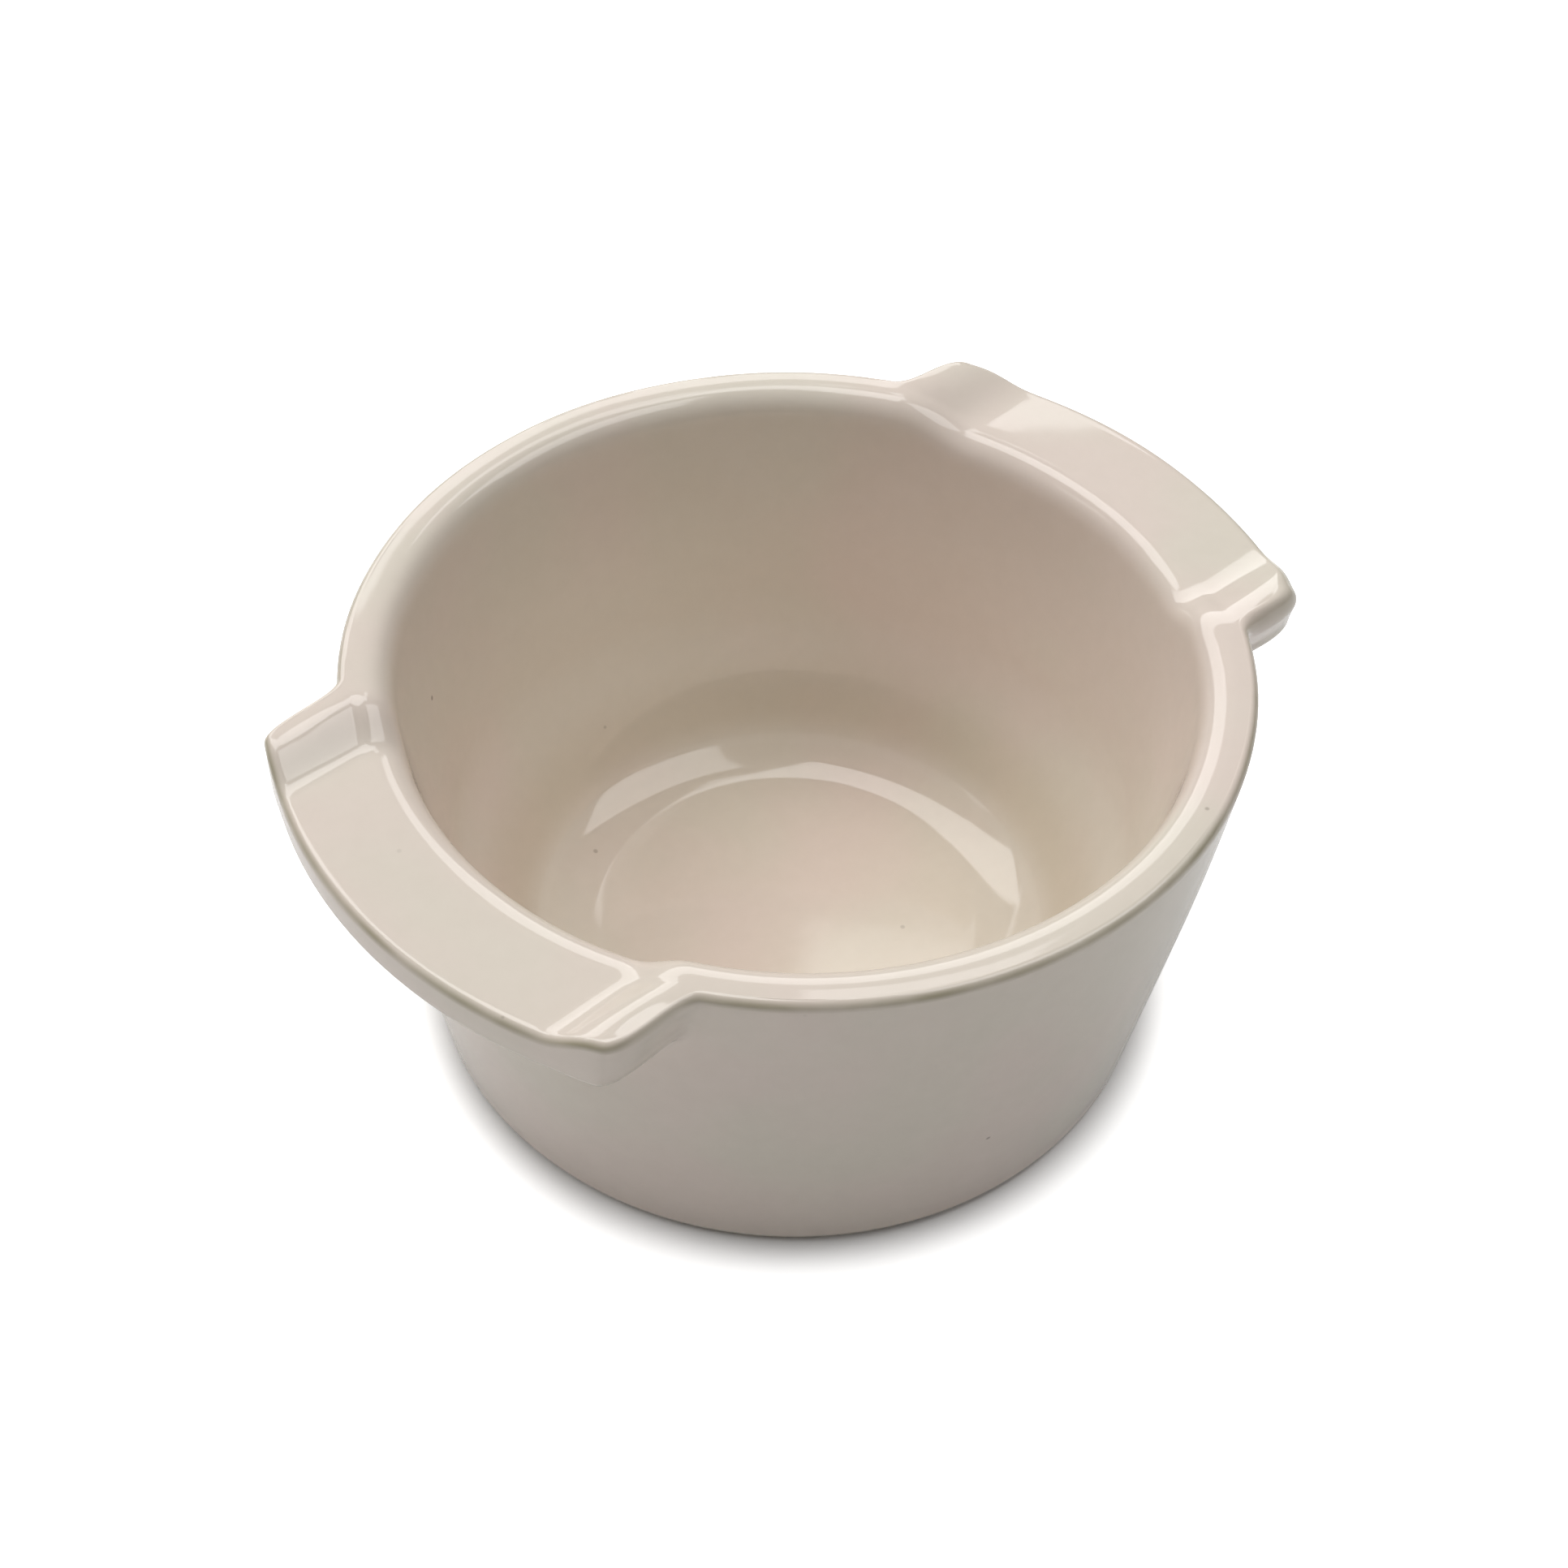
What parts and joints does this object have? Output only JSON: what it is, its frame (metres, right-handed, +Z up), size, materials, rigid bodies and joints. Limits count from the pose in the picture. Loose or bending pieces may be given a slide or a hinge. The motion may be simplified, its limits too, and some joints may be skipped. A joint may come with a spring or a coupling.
{
  "type": "ramekin dish",
  "caption": "Round tapered glazed stoneware dish with a thick rounded rim and a flat shelf-like lug between raised ridges on each side, standing on a bare foot ring.",
  "frame": {"origin": "centre of the foot, on the surface the dish stands on", "axes": "+X through the two lugs, +Z up through the open mouth, +Y across the dish, away from the side to which the lugs sit very slightly off centre"},
  "size_m": [0.1156, 0.1, 0.051],
  "materials": {
    "bare_clay": "matte, fine-grained, unglazed",
    "cream_glaze": "gloss, cream, thinning to olive tan on the crisp edges",
    "recess_glaze": "gloss, cream"
  },
  "bodies": {
    "root": {"stoneware_body": "bare_clay", "glaze_coat": "cream_glaze", "underside_glaze": "recess_glaze"}
  },
  "joints": []
}
